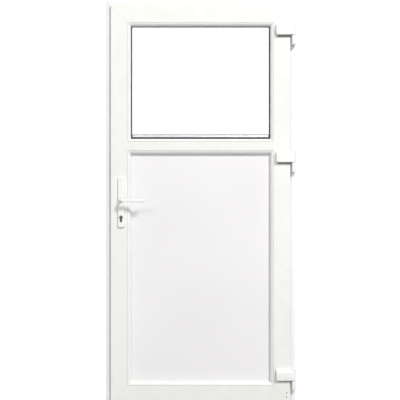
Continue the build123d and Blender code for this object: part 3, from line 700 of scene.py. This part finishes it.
def pane_gasket(name, node, lips):
    """A gasket round the pane, whose rounded lip has its own width at the sides, the foot and the head."""
    ring_low, ring_high = corners_of(node)
    outer = outline_within(ring_low, ring_high, 0.0)
    inner = outline_within(ring_low, ring_high, *(GASKET_COVER + lip for lip in lips))
    gasket = bmesh.new()
    flat_ring(gasket, *outer, *inner, ring_low.y, ring_high.y)
    lip_x = inner[1][0] + 0.5
    lip_edges = [edge for edge in sharp_edges(gasket) if all(abs(end.co.x) < lip_x for end in edge.verts)]
    soften(gasket, lip_edges, 1.1, 3)
    finish_piece(name, gasket, rubber_dark, "leaf", [node])


pane_gasket("inner_pane_gasket", "gasket_inside_upper", (6.0, 8.0, 3.0))
pane_gasket("outer_pane_gasket", "gasket_outside_upper", (0.8, 0.8, -3.0))


# The fine open joint between each bead and the leaf, with its shadow painted on as a grey strip

SHADE_ON_LEAF = 0.2
SHADE_ON_BEAD = 0.9
SHADE_PROUD = 0.25
SHADE_DEPTH = 0.6
joints = bmesh.new()
for name in ("upper", "lower"):
    joint = corners_of("beads_" + name + "_sides")
    front = joint[0].y
    on_leaf = outline_within(*joint, -SHADE_ON_LEAF)
    on_bead = outline_within(*joint, SHADE_ON_BEAD)
    flat_ring(joints, *on_leaf, *on_bead, front - SHADE_PROUD, front + SHADE_DEPTH)
finish_piece("bead_joint_dust", joints, joint_painted_shade, "leaf")


# Trimmed welds across the mitres of the leaf and of the frame's upper corners

def weld_strip(work, corner, toward, reach, y, out):
    """A low flat strip that slants from a corner and reaches this far."""
    start = 1.0
    half_width = 0.8
    proud = 0.2
    sunk = 0.1
    part = bmesh.new()
    box(part, (start, -sunk, -half_width), (reach, proud, half_width))
    soften(part, edges_where(part, lambda at: at.y > 0.1), 0.15, 1)
    facing = Matrix.Rotation(0.0 if out > 0 else math.pi, 3, "X")
    slant = Vector((1, 0, 0)).rotation_difference(Vector((toward[0], 0, toward[1]))).to_matrix()
    for turn in (facing, slant):
        bmesh.ops.rotate(part, cent=(0, 0, 0), matrix=turn, verts=part.verts)
    bmesh.ops.translate(part, vec=(corner[0], y, corner[1]), verts=part.verts)
    join(work, part)


leaf_welds = bmesh.new()
frame_welds = bmesh.new()
diagonal = math.sqrt(2)
# The welds end short of the glass or panel rebate, and of the frame's rounded edge
LEAF_WELD_SHORT = 1.0
FRAME_WELD_SHORT = 2.0
# The leaf's lip stands past its body on the room side only
for y, out, frame_y, lip in ((LEAF_IN, -1, FRAME_IN, 0.0), (LEAF_OUT, 1, FRAME_OUT, LEAF_LIP)):
    leaf_x = LEAF_EDGE - lip
    leaf_reach = (LEAF_FACE - lip) * diagonal - LEAF_WELD_SHORT
    frame_reach = (FRAME_FACE - FRAME_WELD_SHORT) * diagonal
    for side in (-1, 1):
        for height, rise in ((LEAF_BOTTOM + lip, 1), (LEAF_TOP - lip, -1)):
            weld_strip(leaf_welds, (side * leaf_x, height), (-side, rise), leaf_reach, y, out)
        weld_strip(frame_welds, (side * FRAME_EDGE, FRAME_TOP), (-side, -1), frame_reach, frame_y, out)
finish_piece("leaf_welds", leaf_welds, weld_seam, "leaf")
finish_piece("frame_welds", frame_welds, weld_seam, "frame")


# Screws, brushes and end caps

def screw_head(work, at, facing, radius):
    """A countersunk head with a round driver recess."""
    recess = -0.9
    foot = -1.5
    profile = (
        (0, recess), (0.36 * radius, recess), (0.42 * radius, 0.2), (0.75 * radius, 0.22), (radius, 0.0),
        (radius, foot), (0, foot))
    turned(work, profile, at, facing, 14)


plate_heights = (232.0, 340.0, 560.0, 800.0, 930.0, 1180.0, 1400.0, 1570.0, 1800.0, 1852.0)
keep_heights = [height + rise for height in BOLT_HEIGHTS for rise in (-62.0, -46.0, 46.0, 62.0)]
corner_heights = (51.0, 72.0)
corner_x = 442.0
for name, x, y, heights, facing, radius, finish, body, slot in (
        ("faceplate_screws", FACEPLATE_X, GROOVE_Y, plate_heights,
         (-1, 0, 0), 3.6, zinc, "leaf", "zinc_steel"),
        ("keep_screws", KEEP_X, GROOVE_Y, keep_heights,
         (1, 0, 0), 3.6, zinc, "frame", "zinc_steel"),
        ("corner_screws", corner_x, LEAF_IN, corner_heights,
         (0, -1, 0), 3.4, black_plastic, "leaf", "dark_plastic")):
    screws = bmesh.new()
    for height in heights:
        screw_head(screws, (x, y, height), facing, radius)
    finish_piece(name, screws, finish, body)

brushes = bmesh.new()
brush_low, brush_high = corners_of("bottom_brushes")
scatter = random.Random(7)
BRUSH_THICKNESS = 4.0
TUFTS = 360
TRIM_UP = 2.2
TRIM_ACROSS = 0.5
for start in (brush_low.y, brush_high.y - BRUSH_THICKNESS):
    strip = bmesh.new()
    box(strip, (brush_low.x, start, brush_low.z), (brush_high.x, start + BRUSH_THICKNESS, brush_high.z))
    long_edges = [edge for edge in strip.edges if abs(edge.verts[0].co.x - edge.verts[1].co.x) > 100]
    bmesh.ops.subdivide_edges(strip, edges=long_edges, cuts=TUFTS, use_grid_fill=True)
    # The tips are trimmed unevenly
    for vert in strip.verts:
        if vert.co.z < brush_low.z + 1 and abs(vert.co.x) < brush_high.x - 1:
            vert.co.z += scatter.uniform(0.0, TRIM_UP)
            vert.co.y += scatter.uniform(-TRIM_ACROSS, TRIM_ACROSS)
    join(brushes, strip)
finish_piece("pile_strips", brushes, pile, "leaf", ["bottom_brushes"], 20)

caps = bmesh.new()
bar_low, bar_high = corners_of("weather_bar")
CAP_THICKNESS = 1.6
CAP_MARGIN = 0.5
CAP_CLEARANCE = 0.1
# A cap's top slopes as the bar's does, from a nose of this height
CAP_NOSE = 8.0
BAR_RISE = 27.0
BAR_REACH = 26.0
slope_normal = Vector((0, BAR_RISE, BAR_REACH)).normalized()
for end in (bar_low.x - CAP_THICKNESS, bar_high.x):
    cap = bmesh.new()
    box(cap, (end, LEAF_OUT + CAP_CLEARANCE, bar_low.z - CAP_MARGIN),
        (end + CAP_THICKNESS, bar_high.y + CAP_MARGIN, bar_high.z + CAP_MARGIN))
    everything = cap.verts[:] + cap.edges[:] + cap.faces[:]
    nose_top = (0, bar_high.y + CAP_MARGIN, bar_low.z + CAP_NOSE)
    bmesh.ops.bisect_plane(cap, geom=everything, plane_co=nose_top, plane_no=slope_normal, clear_outer=True)
    bmesh.ops.holes_fill(cap, edges=cap.edges[:], sides=0)
    soften(cap, sharp_edges(cap), 0.5, 2)
    bmesh.ops.dissolve_degenerate(cap, dist=0.01, edges=cap.edges)
    join(caps, cap)
finish_piece("weather_bar_caps", caps, cap_plastic, "leaf")


# Camera and light

CAMERA_X = -0.0026
CAMERA_Z = 1.0627
CAMERA_DISTANCE = 3.2
SENSOR = 36.0
VIEW_WIDTH = 2.054
camera_data = bpy.data.cameras.new("camera")
camera_data.sensor_width = SENSOR
camera_data.lens = SENSOR * CAMERA_DISTANCE / VIEW_WIDTH
camera = bpy.data.objects.new("camera", camera_data)
camera.location = (CAMERA_X, LEAF_IN * MM - CAMERA_DISTANCE, CAMERA_Z)
camera.rotation_euler = (math.radians(90), 0, 0)
bpy.context.scene.collection.objects.link(camera)
bpy.context.scene.camera = camera
bpy.context.scene.view_settings.view_transform = "Standard"


def area_light(name, place, target, size, power):
    """A soft square light at one place, aimed at another."""
    data = bpy.data.lights.new(name, "AREA")
    data.shape = "SQUARE"
    data.size = size
    data.energy = power
    light = bpy.data.objects.new(name, data)
    light.location = place
    light.rotation_euler = (Vector(target) - Vector(place)).to_track_quat("-Z", "Y").to_euler()
    bpy.context.scene.collection.objects.link(light)


area_light("key_upper_right", (4.1, -7.8, 7.6), (0.0, 0.0, 1.1), 2.1, 860)
area_light("key_upper_left", (-4.6, -8.0, 6.2), (0.0, 0.0, 1.1), 2.4, 220)
area_light("fill_low_front", (1.5, -5.0, 0.4), (0.0, 0.0, 1.3), 2.0, 30)
area_light("back_light", (-2.5, 6.0, 5.0), (0.0, 0.0, 1.0), 2.4, 480)


def seen_directly(tree):
    """One where a ray comes from the lens, also through glass, and nothing where it is a bounce."""
    path = add(tree, "ShaderNodeLightPath")
    rays = {0: path.outputs["Is Camera Ray"], 1: path.outputs["Is Transmission Ray"]}
    return add(tree, "ShaderNodeMath", rays, operation="MAXIMUM").outputs[0]


# Floor and surroundings look white, but light the door only a little, so that its relief shows
world = bpy.data.worlds.new("studio")
bpy.context.scene.world = world
world.use_nodes = True
tree = world.node_tree
strength = add(tree, "ShaderNodeMapRange", {"Value": seen_directly(tree), "To Min": 0.2, "To Max": 1.3})
tree.links.new(strength.outputs[0], tree.nodes["Background"].inputs["Strength"])
tree.nodes["Background"].inputs["Color"].default_value = (1.0, 1.0, 1.0, 1.0)

floor_mesh = bpy.data.meshes.new("floor")
ground = bmesh.new()
bmesh.ops.create_grid(ground, x_segments=1, y_segments=1, size=30.0)
ground.to_mesh(floor_mesh)
ground.free()
floor = bpy.data.objects.new("floor", floor_mesh)
floor.location = (0, 0, -0.0005)
bpy.context.scene.collection.objects.link(floor)
floor_material, tree, shader, place = new_material("floor_white", 0.9)
shader.inputs["Base Color"].default_value = (0.42, 0.42, 0.42, 1.0)
shader.inputs["Emission Color"].default_value = (1.0, 1.0, 1.0, 1.0)
glow = add(tree, "ShaderNodeMapRange", {"Value": seen_directly(tree), "To Min": 0.0, "To Max": 0.97})
tree.links.new(glow.outputs[0], shader.inputs["Emission Strength"])
floor_mesh.materials.append(floor_material)
